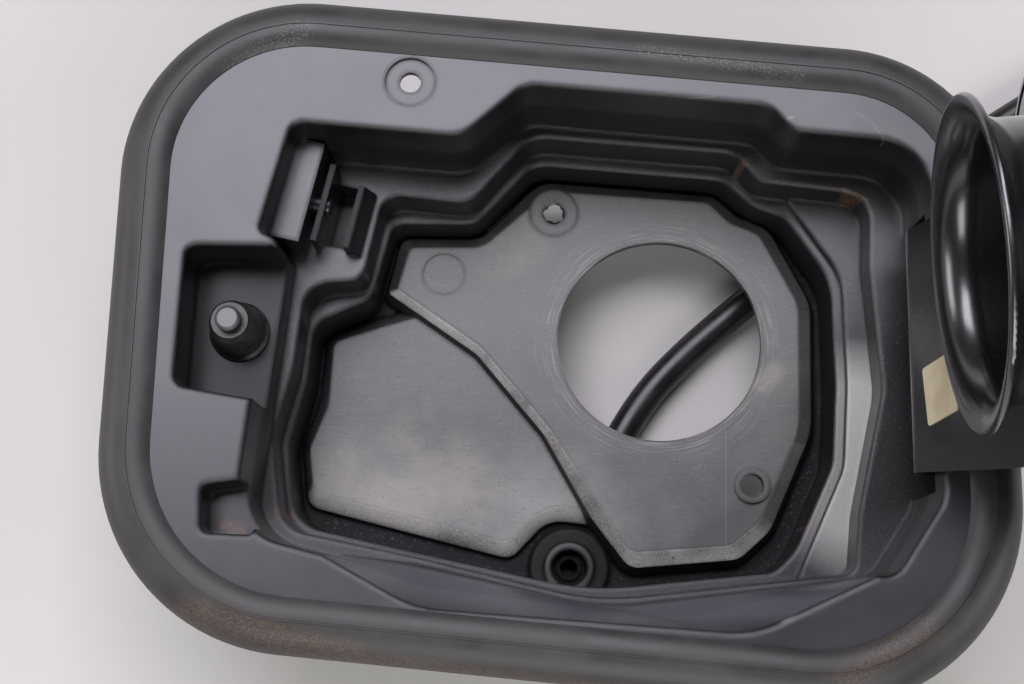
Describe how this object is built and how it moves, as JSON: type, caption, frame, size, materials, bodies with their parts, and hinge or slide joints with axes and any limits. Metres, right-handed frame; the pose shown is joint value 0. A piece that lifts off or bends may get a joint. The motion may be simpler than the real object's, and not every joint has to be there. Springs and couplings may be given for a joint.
{
  "type": "car fuel door",
  "caption": "Moulded car filler pocket with a rubber edge seal, a hinged door that carries a flared cup, a sliding lock and a drain hose.",
  "frame": {"origin": "centre of the filler hole, on the top face of the pocket floor", "axes": "+X to the hinge side, +Y to the upper edge of the pocket, +Z out of the pocket and away from the car; the door stands open at its stop"},
  "size_m": [0.2755, 0.2025, 0.2589],
  "materials": {
    "housing_plastic": "black moulded plastic, dusty",
    "seal_rubber": "black rubber, satin",
    "buffer_rubber": "black rubber",
    "steel": "zinc-plated steel",
    "nylon": "natural nylon",
    "lock_plastic": "black moulded plastic",
    "hose_rubber": "black rubber",
    "panel_paint": "gloss black paint on sheet steel",
    "arm_plastic": "gloss black moulded plastic",
    "label_film": "cream film"
  },
  "bodies": {
    "pocket": {"housing": "housing_plastic", "perimeter_seal": "seal_rubber", "door_buffer": "buffer_rubber", "hinge_pin": "steel", "hinge_clip": "steel", "hinge_spring": "steel", "hinge_spacers": "nylon", "lock_case": "lock_plastic", "lock_cover": "lock_plastic", "lock_screws": "steel", "drain_hose": "hose_rubber"},
    "door": {"door_panel": "panel_paint", "door_frame": "arm_plastic", "cap_cup": "arm_plastic", "cup_screws": "steel", "fuel_label": "label_film", "door_striker": "arm_plastic", "striker_screws": "steel", "panel_nuts": "steel"},
    "bolt": {"lock_bolt": "nylon"}
  },
  "joints": [
    {"name": "door_swing", "type": "hinge", "parent": "pocket", "child": "door", "pos_m": [0.074, 0, 0.0345], "axis": [-0.0785, 0.9969, 0], "range_deg": [-85.5, 0]},
    {"name": "bolt_slide", "type": "slide", "parent": "pocket", "child": "bolt", "axis": [0.9914, -0.1305, 0], "range_m": [0, 0.0044]}
  ]
}
